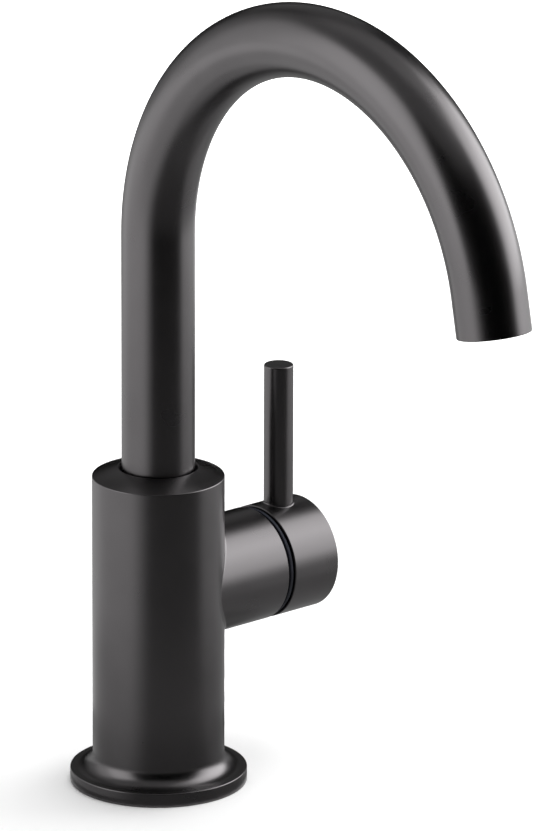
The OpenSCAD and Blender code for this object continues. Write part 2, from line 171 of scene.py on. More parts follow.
class Skin:
    """The faces of one piece, gathered patch by patch, each point with its true surface's normal"""

    def __init__(self):
        self.points = []
        self.normals = []
        self.faces = []

    def patch(self, points, normals, place=None, wrap=False, wrap_rows=False):
        """Quads over a grid of points, wound so that they face the way their normals point"""
        points = np.asarray(points, float)
        normals = np.asarray(normals, float)
        if place is not None:
            turn = np.array(place.to_3x3())
            points = points @ turn.T + np.array(place.translation)
            normals = normals @ turn.T
        rows, columns = points.shape[:2]
        start = sum(len(p) for p in self.points)
        index = start + np.arange(rows * columns).reshape(rows, columns)
        if wrap:
            index = np.hstack([index, index[:, :1]])
        if wrap_rows:
            index = np.vstack([index, index[:1]])
        quads = np.stack([index[:-1, :-1], index[:-1, 1:], index[1:, 1:], index[1:, :-1]], -1)
        quads = quads.reshape(-1, 4)
        flat = points.reshape(-1, 3)
        corner = flat[quads - start]
        facing = np.cross(corner[:, 2] - corner[:, 0], corner[:, 3] - corner[:, 1])
        wanted = normals.reshape(-1, 3)[quads - start].sum(1)
        if (facing * wanted).sum() < 0:
            quads = quads[:, ::-1]
        self.points.append(flat)
        self.normals.append(normals.reshape(-1, 3))
        self.faces.append(quads)

    def piece(self, name):
        """The finished mesh object, with the patches welded where they meet"""
        points = np.vstack(self.points) * MM
        normals = np.vstack(self.normals)
        normals /= np.maximum(np.linalg.norm(normals, axis=1, keepdims=True), 1e-9)
        faces = np.vstack(self.faces)
        mesh = bpy.data.meshes.new(name)
        mesh.from_pydata(points.tolist(), [], faces.tolist())
        kept = mesh.attributes.new("true_normal", "FLOAT_VECTOR", "CORNER")
        kept.data.foreach_set("vector", normals[faces.reshape(-1)].astype(np.float32).ravel())
        welded = bmesh.new()
        welded.from_mesh(mesh)
        bmesh.ops.remove_doubles(welded, verts=welded.verts, dist=weld_gap * MM)
        welded.to_mesh(mesh)
        welded.free()
        corners = np.zeros(len(mesh.loops) * 3, np.float32)
        mesh.attributes["true_normal"].data.foreach_get("vector", corners)
        mesh.attributes.remove(mesh.attributes["true_normal"])
        mesh.shade_smooth()
        mesh.normals_split_custom_set(corners.reshape(-1, 3).tolist())
        made = bpy.data.objects.new(name, mesh)
        bpy.context.scene.collection.objects.link(made)
        return made


def rounded(corners, closed=False, arc_steps=5):
    """Rows (radius, height, normal r, normal z) along an outline of (radius, height, fillet)
    corners, walked with the metal on the left. A corner with no fillet is a point of a smooth curve."""
    rows = []
    count = len(corners)
    for i, (r, z, fillet) in enumerate(corners):
        here = Vector((r, z))
        before = Vector(corners[i - 1][:2]) if closed or i > 0 else None
        after = Vector(corners[(i + 1) % count][:2]) if closed or i < count - 1 else None
        way_in = (here - before).normalized() if before is not None else (after - here).normalized()
        way_out = (after - here).normalized() if after is not None else way_in
        turn = math.atan2(way_in.x * way_out.y - way_in.y * way_out.x, way_in.dot(way_out))
        normal = Vector((way_in.y, -way_in.x))
        if fillet == 0 or abs(turn) < 1e-6:
            middle = normal + Vector((way_out.y, -way_out.x))
            rows.append((r, z, *middle.normalized()))
            continue
        start = here - way_in * fillet * math.tan(abs(turn) / 2)
        side = 1 if turn > 0 else -1
        centre = start - normal * fillet * side
        for k in range(arc_steps + 1):
            angle = turn * k / arc_steps
            now = Vector((normal.x * math.cos(angle) - normal.y * math.sin(angle),
                          normal.x * math.sin(angle) + normal.y * math.cos(angle)))
            rows.append((*(centre + now * fillet * side), *now))
    return rows


def turned(skin, rows, place=None, angles=None, closed=False, steps=96):
    """Turns rows about local z. A row's values may be arrays, one number for each angle."""
    if angles is None:
        angles = np.arange(steps) * 2 * math.pi / steps
    cos, sin = np.cos(angles), np.sin(angles)
    points, normals = [], []
    for r, z, nr, nz in rows:
        flat = np.ones_like(cos)
        points.append(np.stack([r * cos, r * sin, z * flat], -1))
        normals.append(np.stack([nr * cos, nr * sin, nz * flat], -1))
    skin.patch(points, normals, place, wrap=True, wrap_rows=closed)


def across(height):
    """A frame whose z runs out along the local x of a wall, at a height on it"""
    return Matrix(((0, 0, 1, 0), (0, 1, 0, 0), (1, 0, 0, height), (0, 0, 0, 1)))


ON_HANDLE_AXIS = across(handle_z)
ON_LEVER_AXIS = Matrix.Translation((lever_x, 0, handle_z))


def window_edge(half_steps, steps, levels):
    """(angle, height) once round a window in a wall, on the wall's own columns and levels"""
    half = half_steps * 2 * math.pi / steps
    columns = np.linspace(-half, half, 2 * half_steps + 1)
    along_bottom = [(angle, levels[0]) for angle in columns]
    up_right = [(half, z) for z in levels[1:]]
    along_top = [(angle, levels[-1]) for angle in columns[-2::-1]]
    down_left = [(-half, z) for z in levels[-2:0:-1]]
    return np.array(along_bottom + up_right + along_top + down_left)


def pierced_wall(skin, radius, levels, steps, holes, place=None, outward=1):
    """A round wall about local z with holes in it. Each hole is (step that it faces, half width of
    its window in steps, height, rim), where rim gives (angle, height) for a turn about the hole."""
    rim_to_window = np.array([0, 0.06, 0.16, 0.32, 0.52, 0.75, 1.0])[:, None, None]
    step = 2 * math.pi / steps
    turns = []

    def lay(angle, height, wrap):
        cos, sin = np.cos(angle), np.sin(angle)
        points = np.stack([radius * cos, radius * sin, height], -1)
        normals = np.stack([cos, sin, 0 * cos], -1) * outward
        skin.patch(points, normals, place, wrap=wrap)

    for number, (facing, half_steps, height, rim) in enumerate(holes):
        outer = window_edge(half_steps, steps, levels)
        turn = np.arctan2(outer[:, 0] * radius, outer[:, 1] - height)
        inner = rim(turn)
        rows = inner[None] + (outer - inner)[None] * rim_to_window
        lay(rows[..., 0] + facing * step, rows[..., 1], True)
        turns.append(turn)
        after = holes[(number + 1) % len(holes)]
        last = after[0] - after[1] + (steps if number == len(holes) - 1 else 0)
        columns = np.arange(facing + half_steps, last + 1) * step
        lay(*np.meshgrid(columns, levels), False)
    return turns


def rolled(wall_r, side, branch_r, fillet, turn):
    """A ball of the fillet's radius, rolled in the corner of a wall and its branch: its centre, and
    where it touches the wall and the branch. Side is 1 for a branch that stands out, -1 for a hole."""
    y = (branch_r + fillet) * np.sin(turn)
    x = np.sqrt((wall_r + side * fillet) ** 2 - y * y)
    rise = (branch_r + fillet) * np.cos(turn)
    shrink = wall_r / (wall_r + side * fillet)
    centre = np.stack([x, y, rise], -1)
    on_wall = np.stack([x * shrink, y * shrink, rise], -1)
    on_branch = np.stack([x, branch_r * np.sin(turn), branch_r * np.cos(turn)], -1)
    return centre, on_wall, on_branch


def fillet_rim(wall_r, side, branch_r, fillet, height):
    """The rim that pierced_wall asks for, where a hole's fillet starts"""
    def rim(turn):
        on_wall = rolled(wall_r, side, branch_r, fillet, turn)[1]
        return np.stack([np.arctan2(on_wall[:, 1], on_wall[:, 0]), on_wall[:, 2] + height], -1)
    return rim


def fillet_strip(skin, wall_r, side, branch_r, fillet, turn, place, arc_steps=8):
    """The surface of the fillet, and how far out along the branch it ends at each turn"""
    centre, on_wall, on_branch = rolled(wall_r, side, branch_r, fillet, turn)
    first = (on_wall - centre) / fillet
    last = (on_branch - centre) / fillet
    spread = np.arccos(np.clip((first * last).sum(1), -1, 1))[:, None]
    rows = []
    for k in range(arc_steps + 1):
        share = k / arc_steps
        rows.append((first * np.sin((1 - share) * spread) + last * np.sin(share * spread))
                    / np.sin(spread))
    rows = np.array(rows)
    skin.patch(centre[None] + rows * fillet, -side * rows, place, wrap=True)
    return centre[:, 0]


# Body: foot, upright, crown and boss in one piece
def make_body():
    skin = Skin()
    steps = 144
    boss_half_steps = 31
    bore_half_steps = 28
    lip_fillet = 0.7
    rim_inset = 0.6
    boss_run = 2
    # A hair past the fillet, so that the outline has a way on. Welding takes it up.
    hair = 0.001
    dome_drop = ((body_r ** 2 - tube_r ** 2) - crown_h ** 2) / (2 * crown_h)
    dome_r = math.hypot(body_r, dome_drop)
    dome_z = rim_z - dome_drop
    lip_r = tube_r + lip_gap
    lip_z = dome_z + math.sqrt(dome_r ** 2 - lip_r ** 2)
    dome_from, dome_to = body_r - 1, lip_r + 1.2
    dome_radii = np.linspace(dome_from, dome_to, 9)
    dome = [(r, dome_z + math.sqrt(dome_r ** 2 - r ** 2), 0) for r in dome_radii]
    low, high = foot_t + foot_fillet, rim_z - rim_inset
    in_low, in_high = gasket_t + soft_break, shoulder_z - soft_break
    levels = np.linspace(low, high, 73)
    in_levels = np.linspace(in_low, in_high, 31)
    guide_seat_r = guide_r + seat_gap
    guide_seat_z = guide_top + seat_gap

    turned(skin, rounded([
        (bore_r, in_low, 0), (bore_r, gasket_t, soft_break), (recess_r, gasket_t, fine_break),
        (recess_r, 0, soft_break), (foot_r, 0, edge_r), (foot_r, foot_t, edge_r),
        (body_r, foot_t, foot_fillet), (body_r, low + hair, 0)], arc_steps=8), steps=steps)
    turned(skin, rounded([(body_r, high, 0), (body_r, rim_z, edge_r)] + dome + [
        (lip_r, lip_z, lip_fillet), (lip_r, guide_seat_z, crisp_break),
        (guide_seat_r, guide_seat_z, crisp_break), (guide_seat_r, shoulder_z, crisp_break),
        (bore_r, shoulder_z, fine_break), (bore_r, in_high, 0)], arc_steps=6), steps=steps)

    boss_rim = fillet_rim(body_r, 1, barrel_r, boss_fillet, handle_z)
    hole = (0, boss_half_steps, handle_z, boss_rim)
    turn = pierced_wall(skin, body_r, levels, steps, [hole])[0]
    seat = Matrix.Translation((0, 0, handle_z))
    root = fillet_strip(skin, body_r, 1, barrel_r, boss_fillet, turn, seat)

    def bore_rim(turn):
        side = np.arcsin(boss_bore_r * np.sin(turn) / bore_r)
        return np.stack([side, handle_z + boss_bore_r * np.cos(turn)], -1)

    in_hole = (0, bore_half_steps, handle_z, bore_rim)
    in_turn = pierced_wall(skin, bore_r, in_levels, steps, [in_hole], outward=-1)[0]
    end = rounded([(barrel_r, boss_end - boss_run, 0), (barrel_r, boss_end, small_edge_r),
                   (boss_bore_r, boss_end, soft_break), (boss_bore_r, boss_end - boss_run, 0)])
    turned(skin, [(barrel_r, root, 1, 0)] + end, ON_HANDLE_AXIS, angles=turn)
    in_root = np.sqrt(bore_r ** 2 - (boss_bore_r * np.sin(in_turn)) ** 2)
    turned(skin, [end[-1], (boss_bore_r, in_root, -1, 0)], ON_HANDLE_AXIS, angles=in_turn)
    return skin.piece("body_satin_black")


# Spout: one bent tube, its ends faced and the edges broken
def on_spout(distance):
    """The centre, way along and outward axis of the tube's centreline, from its lower end"""
    riser = riser_h - tube_z
    angle = min(max((distance - riser) / bend_r, 0), bend_angle)
    along = np.array([0, -math.sin(angle), math.cos(angle)])
    out = np.array([0, math.cos(angle), math.sin(angle)])
    bend_top = np.array([0, -bend_r * (1 - math.cos(angle)), riser_h + bend_r * math.sin(angle)])
    straight = min(distance - riser, 0) + max(distance - riser - bend_r * bend_angle, 0)
    return bend_top + along * straight, along, out


spout_len = riser_h - tube_z + bend_r * bend_angle + tail_len


def swept(skin, rows, steps=96):
    """Rows (radius, distance, normal r, normal along) laid round the tube's centreline"""
    angles = np.arange(steps) * 2 * math.pi / steps
    side = np.array([1.0, 0, 0])
    points, normals = [], []
    for r, distance, nr, nz in rows:
        centre, along, out = on_spout(distance)
        spoke = np.cos(angles)[:, None] * side + np.sin(angles)[:, None] * out
        points.append(centre + spoke * r)
        normals.append(spoke * nr + along * nz)
    skin.patch(points, normals, wrap=True, wrap_rows=True)


def make_spout():
    skin = Skin()
    ring_gap = 2.4
    ends = rounded([(tube_in_r, 0, small_edge_r), (tube_r, 0, soft_break),
                    (tube_r, spout_len, soft_break), (tube_in_r, spout_len, fine_break)], closed=True)
    rows = []
    for row, after in zip(ends, ends[1:] + ends[:1]):
        rows.append(row)
        between = int(abs(after[1] - row[1]) / ring_gap)
        rows += [(row[0], row[1] + (after[1] - row[1]) * k / between, row[2], row[3])
                 for k in range(1, between)]
    swept(skin, rows)
    return skin.piece("spout_satin_black")


# Handle: the barrel with the lever's mouth on top, in a thin collar, and the screw's hole below
def make_barrel():
    skin = Skin()
    steps = 120
    hole_half_steps = 12
    wall_inset = 0.6
    end_r = 0.5
    collar_t = 0.2
    collar_fillet = 0.4
    screw_fillet = 0.25
    screw_floor = 2.4
    lever_hole_r = lever_r + run_gap
    spigot_hole_r = spigot_r + free_gap
    recess_floor = barrel_x + spigot_reach + free_gap
    levels = np.linspace(barrel_x + wall_inset, barrel_end - wall_inset, 17)
    turned(skin, rounded([
        (0, recess_floor, 0), (spigot_hole_r, recess_floor, fine_break),
        (spigot_hole_r, barrel_x, soft_break), (barrel_r, barrel_x, small_edge_r * 2),
        (barrel_r, levels[0], 0)]), ON_HANDLE_AXIS, steps=steps)
    turned(skin, rounded([(barrel_r, levels[-1], 0), (barrel_r, barrel_end, end_r),
                          (0, barrel_end, 0)], arc_steps=6), ON_HANDLE_AXIS, steps=steps)
    holes = [(1, lever_hole_r + collar_t, collar_fillet, lever_hole_r, barrel_r - lever_seat, 0),
             (-1, screw_hole_r, screw_fillet, screw_hole_r, screw_floor, steps // 2)]
    rims = [(facing, hole_half_steps, lever_x, fillet_rim(barrel_r, side, rim_r, fillet, lever_x))
            for side, rim_r, fillet, hole_r, floor, facing in holes]
    turns = pierced_wall(skin, barrel_r, levels, steps, rims, ON_HANDLE_AXIS)
    for (side, rim_r, fillet, hole_r, floor, facing), turn in zip(holes, turns):
        spin = ON_HANDLE_AXIS @ Matrix.Rotation(facing * 2 * math.pi / steps, 4, "Z")
        seat = spin @ Matrix.Translation((0, 0, lever_x))
        mouth = fillet_strip(skin, barrel_r, side, rim_r, fillet, turn, seat)
        rows = [(hole_r, mouth, -1, 0), (hole_r, floor, -1, 0)]
        if side > 0:
            rows = [(rim_r, mouth, 1, 0), (rim_r - collar_t / 2, mouth + collar_t / 2, 0, 1)] + rows
        turned(skin, rows, spin @ across(lever_x), angles=turn)
        turned(skin, [(hole_r, floor, 0, 1), (0, floor, 0, 1)], spin @ across(lever_x), angles=turn)
    return skin.piece("handle_satin_black")


def make_lever():
    skin = Skin()
    foot = barrel_r - lever_seat
    tip_break = 0.45
    turned(skin, rounded([(0, foot, 0), (lever_r, foot, soft_break), (lever_r, lever_h, tip_break),
                          (0, lever_h, 0)], arc_steps=6), ON_LEVER_AXIS, steps=72)
    return skin.piece("lever_satin_black")


# Trim ring in the groove: a round rib between two lower shoulders
def make_trim_ring():
    skin = Skin()
    sleeve_r = boss_bore_r - seat_gap
    shoulder_r = barrel_r - 2.2
    rib_r = barrel_r - 0.55
    ring_bore_r = 8.5
    lead_in = 0.5
    tail = boss_end - 6
    face = barrel_x - free_gap
    spigot_end = barrel_x + spigot_reach
    rib_w = 1.2
    rib_low = boss_end + 1.2
    rib_high = rib_low + rib_w
    seat = boss_end + run_gap
    turned(skin, rounded([
        (ring_bore_r, tail, soft_break), (sleeve_r, tail, lead_in), (sleeve_r, seat, crisp_break),
        (shoulder_r, seat, fine_break), (shoulder_r, rib_low, crisp_break),
        (rib_r, rib_low, edge_r), (rib_r, rib_high, edge_r), (shoulder_r, rib_high, crisp_break),
        (shoulder_r, face, fine_break), (spigot_r, face, crisp_break),
        (spigot_r, spigot_end, soft_break), (ring_bore_r, spigot_end, soft_break)], closed=True),
        ON_HANDLE_AXIS, closed=True, steps=120)
    return skin.piece("trim_ring_black_acetal")


# Below the deck: round and hexagonal brass, washers and the supply thread
HEX_ANGLES = np.radians(np.arange(-30, 330, 5))


def hex_outline(corner_r, angles):
    """The radius of a hexagon at each angle about its middle"""
    from_flat = (angles + math.pi / 6) % (math.pi / 3) - math.pi / 6
    return corner_r * math.cos(math.pi / 6) / np.cos(from_flat)


def hexagon(skin, corner_r, low, high, cut_low=True, cut_high=True):
    """Six flats, their corners turned down to a cone at an end that is cut. Returns the radius of
    the round face that the cone leaves."""
    face_share = 0.97
    face_r = corner_r * math.cos(math.pi / 6) * face_share
    cone_angle = math.radians(30)
    tilt = np.array([math.sin(cone_angle), math.cos(cone_angle)])
    for flat in range(6):
        facing = flat * math.pi / 3
        angles = facing + np.radians(np.arange(-30, 31, 5))
        r = hex_outline(corner_r, angles)
        drop = (r - face_r) * math.tan(cone_angle)
        bottom = low + drop * cut_low
        top = high - drop * cut_high
        cos, sin = np.cos(angles), np.sin(angles)
        outline = np.stack([r * cos, r * sin], -1)
        rows = [np.column_stack([outline, bottom]), np.column_stack([outline, top])]
        normal = np.array([math.cos(facing), math.sin(facing), 0])
        skin.patch(rows, np.ones((2, len(angles), 1)) * normal)
        for cut, z, end, way in ((cut_low, low, bottom, -1), (cut_high, high, top, 1)):
            if cut:
                face = np.column_stack([face_r * cos, face_r * sin, np.full_like(cos, z)])
                cone = np.column_stack([tilt[0] * cos, tilt[0] * sin, np.full_like(cos, way * tilt[1])])
                skin.patch([face, np.column_stack([outline, end])], [cone, cone])
    return face_r


def threaded(skin, crest_r, pitch, low, high, rows_a_turn=8):
    """A helical screw thread that runs out at both ends"""
    heights = np.linspace(low, high, int((high - low) / pitch * rows_a_turn) + 1)[:, None]
    angles = HEX_ANGLES[None]
    phase = np.abs((heights / pitch - angles / (2 * math.pi)) % 1 * 2 - 1)
    run_out = np.clip(np.minimum(heights - low, high - heights) / pitch, 0, 1)
    cut = np.clip((phase - thread_crest) / (1 - thread_crest - thread_root), 0, 1)
    r = crest_r - thread_deep * pitch * cut * run_out
    points = np.stack([r * np.cos(angles), r * np.sin(angles), heights + 0 * r], -1)
    along = np.gradient(points, axis=0)
    around = np.roll(points, -1, 1) - np.roll(points, 1, 1)
    skin.patch(points, np.cross(around, along), wrap=True)


def turned_brass(skin, corners, **options):
    """An outline turned about z, in the same steps as the hexagons and the threads beside it"""
    turned(skin, rounded(corners, **options), angles=HEX_ANGLES)


def make_shank():
    skin = Skin()
    tip_cut = 0.9
    tip_break = 0.05
    head_break = 0.4
    low = shank_end + tip_cut
    thread_low = low + 0.1
    thread_high = -2.0
    turned_brass(skin, [
        (shank_r, thread_high, 0), (shank_r, shank_head_z, soft_break),
        (shank_head_r, shank_head_z, soft_break), (shank_head_r, core_bottom, head_break),
        (shank_in_r, core_bottom, soft_break), (shank_in_r, shank_end, soft_break),
        (shank_r - tip_cut, shank_end, crisp_break), (shank_r, low, tip_break),
        (shank_r, thread_low, 0)])
    threaded(skin, shank_r, shank_pitch, thread_low, thread_high)
    return skin.piece("mounting_shank_brass")


def make_nut():
    skin = Skin()
    hole_r = shank_r + seat_gap
    mouth_break = 0.6
    collar_break = 0.4
    collar_z = clamp_z - nut_collar_t
    face_r = hexagon(skin, nut_corner_r, nut_z, collar_z, cut_high=False)
    corner = hex_outline(nut_corner_r, HEX_ANGLES)
    turned(skin, [(corner, collar_z, 0, -1), (nut_corner_r, collar_z, 0, -1)], angles=HEX_ANGLES)
    turned_brass(skin, [
        (nut_corner_r, collar_z, 0), (nut_corner_r, clamp_z, collar_break),
        (hole_r, clamp_z, collar_break), (hole_r, nut_z, mouth_break), (face_r, nut_z, 0)])
    return skin.piece("mounting_nut_brass")


def make_inlet():
    skin = Skin()
    top_hex_r = shank_in_r - free_gap
    foot_hex_r = supply_r + 2
    hex_root_r = 0.4
    lead_in = 0.6
    top_hex_z = core_bottom - hex_t
    foot_hex_z = tube_foot_z - hex_t
    tip_cut = 0.8
    tip_in = 0.7
    tip_break = 0.05
    low = supply_z + tip_cut
    thread_low = low + 0.05
    thread_high = foot_hex_z - 1.0
    bore_z = supply_z + strainer_len
    groove_z = core_bottom + 5
    groove_top = groove_z + 2
    groove_r = socket_r - inlet_collar_w
    foot_face = hexagon(skin, foot_hex_r, foot_hex_z, tube_foot_z)
    top_face = hexagon(skin, top_hex_r, top_hex_z, core_bottom)
    turned_brass(skin, [
        (inlet_bore_r, 0, 0), (inlet_bore_r, bore_z, fine_break), (supply_bore_r, bore_z, fine_break),
        (supply_bore_r, supply_z, soft_break), (supply_r - tip_in, supply_z, crisp_break),
        (supply_r, low, tip_break), (supply_r, thread_low, 0)])
    threaded(skin, supply_r, supply_pitch, thread_low, thread_high)
    turned_brass(skin, [(supply_r, thread_high, 0), (supply_r, foot_hex_z, soft_break),
                        (foot_face, foot_hex_z, 0)])
    turned_brass(skin, [
        (foot_face, tube_foot_z, 0), (inlet_r, tube_foot_z, hex_root_r),
        (inlet_r, top_hex_z, hex_root_r), (top_face, top_hex_z, 0)])
    turned_brass(skin, [
        (top_face, core_bottom, 0), (socket_r, core_bottom, crisp_break),
        (socket_r, groove_z, crisp_break), (groove_r, groove_z, crisp_break),
        (groove_r, groove_top, crisp_break), (socket_r, groove_top, crisp_break),
        (socket_r, inlet_top, lead_in), (inlet_bore_r, inlet_top, fine_break), (inlet_bore_r, 0, 0)])
    return skin.piece("inlet_tube_brass")


def make_washer(name, low, high, edge):
    skin = Skin()
    hole_r = shank_r + free_gap
    turned(skin, rounded([(hole_r, low, edge), (washer_r, low, edge), (washer_r, high, edge),
                          (hole_r, high, edge)], closed=True), closed=True, steps=120)
    return skin.piece(name)


# Outlet, drawn along the flow from the face of the tube
def at_outlet():
    centre = on_spout(spout_len)[0]
    return Matrix.Translation(Vector(centre)) @ Matrix.Rotation(bend_angle, 4, "X")


def make_outlet_insert():
    skin = Skin()
    thread_r = aerator_r + seat_gap
    outer_r = tube_in_r - run_gap
    face = -insert_inset
    face_break = 0.25
    top = face - insert_len
    turned(skin, rounded([
        (thread_r, top, soft_break), (outer_r, top, soft_break), (outer_r, face, face_break),
        (thread_r, face, soft_break)], closed=True), at_outlet(), closed=True)
    return skin.piece("outlet_insert_brass")


def make_aerator_shell():
    """A recessed ring whose lip is notched for its key"""
    skin = Skin()
    steps = 144
    notches = 12
    notch_deep = 0.55
    notch_flank = 3
    face_break = 0.25
    lip_root_r = 0.05
    lip_rows_r = aerator_mouth_r + aerator_lip_w / 2
    face = -aerator_inset
    top = face - aerator_len
    lip_z = face - aerator_lip_t
    turn = np.arange(steps) * 2 * math.pi / steps
    notch = np.clip(np.cos(turn * notches) * notch_flank + 0.5, 0, 1) * notch_deep
    rows = rounded([
        (aerator_r, top, fine_break), (aerator_r, face, face_break),
        (aerator_mouth_r, face, soft_break), (aerator_mouth_r, lip_z, crisp_break),
        (aerator_in_r, lip_z, lip_root_r), (aerator_in_r, top, crisp_break)], closed=True)
    notched = [(np.where(row[0] < lip_rows_r, row[0] + notch, row[0]), *row[1:]) for row in rows]
    turned(skin, notched, at_outlet(), angles=turn, closed=True)
    return skin.piece("aerator_shell_steel")


def make_aerator_insert():
    """A flow straightener: a honeycomb of small cells in a rim"""
    skin = Skin()
    pitch = 1.45
    web = 0.28
    reach = 6.4
    overlap = 0.35
    cell_slack = 0.3
    top, bottom = -2.15, -5.5
    rim_in_r = reach - overlap
    rim_r = aerator_in_r - seat_gap
    rim_top = -aerator_inset - aerator_len
    rim_foot = -aerator_inset - aerator_lip_t
    cell_r = pitch / math.sqrt(3)
    hole_r = cell_r - web / math.sqrt(3)
    place = at_outlet()
    corners = np.radians(np.arange(30, 391, 60))
    around = np.stack([np.cos(corners), np.sin(corners)], -1)
    ways = [(0, 1), (-1, 1), (-1, 0), (0, -1), (1, -1), (1, 0)]
    grid = range(-5, 6)
    middle = {(i, j): np.array([(i + j / 2) * pitch, j * pitch * math.sqrt(3) / 2])
              for i in grid for j in grid}
    cells = {at: c for at, c in middle.items() if np.hypot(*c) + cell_r < reach + cell_slack}
    for (i, j), centre in cells.items():
        for side, (di, dj) in enumerate(ways):
            spoke = around[side:side + 2]
            inner = centre + spoke * hole_r
            outer = centre + spoke * cell_r
            facing = spoke.sum(0)
            for z, way in ((top, 1), (bottom, -1)):
                face = [np.column_stack([inner, [z, z]]), np.column_stack([outer, [z, z]])]
                skin.patch(face, np.full((2, 2, 3), (0, 0, way)), place)
            walls = [(inner, -1)] + ([] if (i + di, j + dj) in cells else [(outer, 1)])
            for line, way in walls:
                wall = [np.column_stack([line, [z, z]]) for z in (top, bottom)]
                skin.patch(wall, np.full((2, 2, 3), (*(facing * way), 0)), place)
    turned(skin, rounded([
        (rim_in_r, rim_top, crisp_break), (rim_r, rim_top, crisp_break),
        (rim_r, rim_foot, fine_break), (rim_in_r, rim_foot, fine_break)], closed=True),
        place, closed=True)
    return skin.piece("aerator_honeycomb")


# Materials
def linear(hex_text):
    """An sRGB hex colour as the linear colour that a shader takes"""
    parts = [int(hex_text[k:k + 2], 16) / 255 for k in (1, 3, 5)]
    return [p / 12.92 if p <= 0.04045 else ((p + 0.055) / 1.055) ** 2.4 for p in parts] + [1.0]


def add(tree, kind, inputs=(), **settings):
    """Adds a node with its settings, each input a plain value or another node's output to link"""
    made = tree.nodes.new("ShaderNode" + kind)
    for name, value in settings.items():
        setattr(made, name, value)
    for name, value in dict(inputs).items():
        if isinstance(value, bpy.types.NodeSocket):
            tree.links.new(value, made.inputs[name])
        else:
            made.inputs[name].default_value = value
    return next((socket for socket in made.outputs if socket.enabled), None)


def blank(name, **values):
    """A new material with its plain values on the shader's own sockets"""
    made = bpy.data.materials.new(name)
    made.use_nodes = True
    shader = made.node_tree.nodes["Principled BSDF"]
    for socket, value in values.items():
        shader.inputs[socket.replace("_", " ")].default_value = value
    return made, made.node_tree, shader, add(made.node_tree, "TexCoord").node.outputs["Object"]


def grain(tree, place, size, detail=2.0, stretch=(1, 1, 1)):
    """Noise whose grain is this many millimetres, drawn out along an axis by its stretch"""
    scaled = add(tree, "Mapping", {"Vector": place, "Scale": [1 / (size * MM * s) for s in stretch]})
    return add(tree, "TexNoise", {"Vector": scaled, "Scale": 1.0, "Detail": detail})


def follow(tree, amount, low, high):
    """A number that follows a noise from low to high, over the span where most of the noise lies"""
    noise_low, noise_high = 0.3, 0.7
    return add(tree, "MapRange", {"Value": amount, "From Min": noise_low, "From Max": noise_high,
                                  "To Min": low, "To Max": high})


def tinted(tree, amount, first, second):
    """A colour that follows a noise between two hex colours"""
    # Where the node keeps the two colours, among inputs that share their names
    colour_a, colour_b = 6, 7
    share = follow(tree, amount, 0.0, 1.0)
    return add(tree, "Mix", {"Factor": share, colour_a: linear(first), colour_b: linear(second)},
               data_type="RGBA")


def dress(tree, shader, colour, roughness, height, depth):
    """Links a colour, a roughness and a relief of this depth in millimetres"""
    relief = add(tree, "Bump", {"Height": height, "Distance": depth * MM, "Strength": 1.0})
    tree.links.new(colour, shader.inputs["Base Color"])
    tree.links.new(roughness, shader.inputs["Roughness"])
    tree.links.new(relief, shader.inputs["Normal"])


def satin_black():
    """Black vapour-deposited coating over bead-blasted brass: a dark metal with a fine even grain,
    so lamps show in it as wide soft bands. The grain is drawn at 0.4 mm, coarser than the real one."""
    made, tree, shader, place = blank("satin_black_coating", Metallic=1.0)
    cloud = grain(tree, place, 14.0)
    blast = grain(tree, place, 0.4, detail=3.0)
    dress(tree, shader, tinted(tree, cloud, "#565455", "#595758"),
          follow(tree, cloud, 0.27, 0.31), blast, 0.0012)
    return made


def machined_brass():
    """Brass turned on a lathe: yellow metal with fine rings round it and a faint dulling"""
    made, tree, shader, place = blank("machined_brass", Metallic=1.0)
    rings = grain(tree, place, 0.25, stretch=(60, 60, 1))
    dull = grain(tree, place, 9.0)
    dress(tree, shader, tinted(tree, dull, "#d2ab62", "#bf9650"),
          follow(tree, dull, 0.26, 0.38), rings, 0.003)
    return made


def natural_acetal():
    """Moulded natural acetal: off-white and faintly waxy, with a fine mould texture"""
    made, tree, shader, place = blank("natural_acetal", Subsurface_Weight=0.15,
                                      Subsurface_Scale=0.001, IOR=1.48)
    cloud = grain(tree, place, 5.0)
    spark = grain(tree, place, 0.3)
    dress(tree, shader, tinted(tree, cloud, "#ece7da", "#e2dccd"),
          follow(tree, cloud, 0.34, 0.44), spark, 0.003)
    return made


def black_acetal():
    """Moulded black acetal: a deep black plastic with a low sheen"""
    made, tree, shader, place = blank("black_acetal", IOR=1.48, Specular_IOR_Level=0.3)
    cloud = grain(tree, place, 4.0)
    spark = grain(tree, place, 0.3)
    dress(tree, shader, tinted(tree, cloud, "#181a21", "#1f2129"),
          follow(tree, cloud, 0.62, 0.72), spark, 0.003)
    return made


def black_rubber():
    """Moulded EPDM rubber: matt, near black, with a bloom in patches"""
    made, tree, shader, place = blank("black_rubber", IOR=1.5)
    bloom = grain(tree, place, 6.0, detail=4.0)
    pores = grain(tree, place, 0.35, detail=3.0)
    dress(tree, shader, tinted(tree, bloom, "#19191a", "#262627"),
          follow(tree, bloom, 0.62, 0.78), pores, 0.012)
    return made


def stamped_stainless():
    """Stainless steel sheet and bar: grey metal with fine rolling lines"""
    made, tree, shader, place = blank("stamped_stainless", Metallic=1.0)
    lines = grain(tree, place, 0.2, detail=3.0, stretch=(80, 1, 1))
    patch = grain(tree, place, 8.0)
    dress(tree, shader, tinted(tree, patch, "#c3c3c5", "#b2b3b6"),
          follow(tree, patch, 0.24, 0.34), lines, 0.002)
    return made


def lapped_ceramic():
    """Lapped alumina: white, hard and nearly mirror smooth"""
    made, tree, shader, place = blank("lapped_ceramic", IOR=1.76)
    cloud = grain(tree, place, 3.0)
    lap = grain(tree, place, 0.2)
    dress(tree, shader, tinted(tree, cloud, "#f0efec", "#e6e5e1"),
          follow(tree, cloud, 0.12, 0.2), lap, 0.0006)
    return made


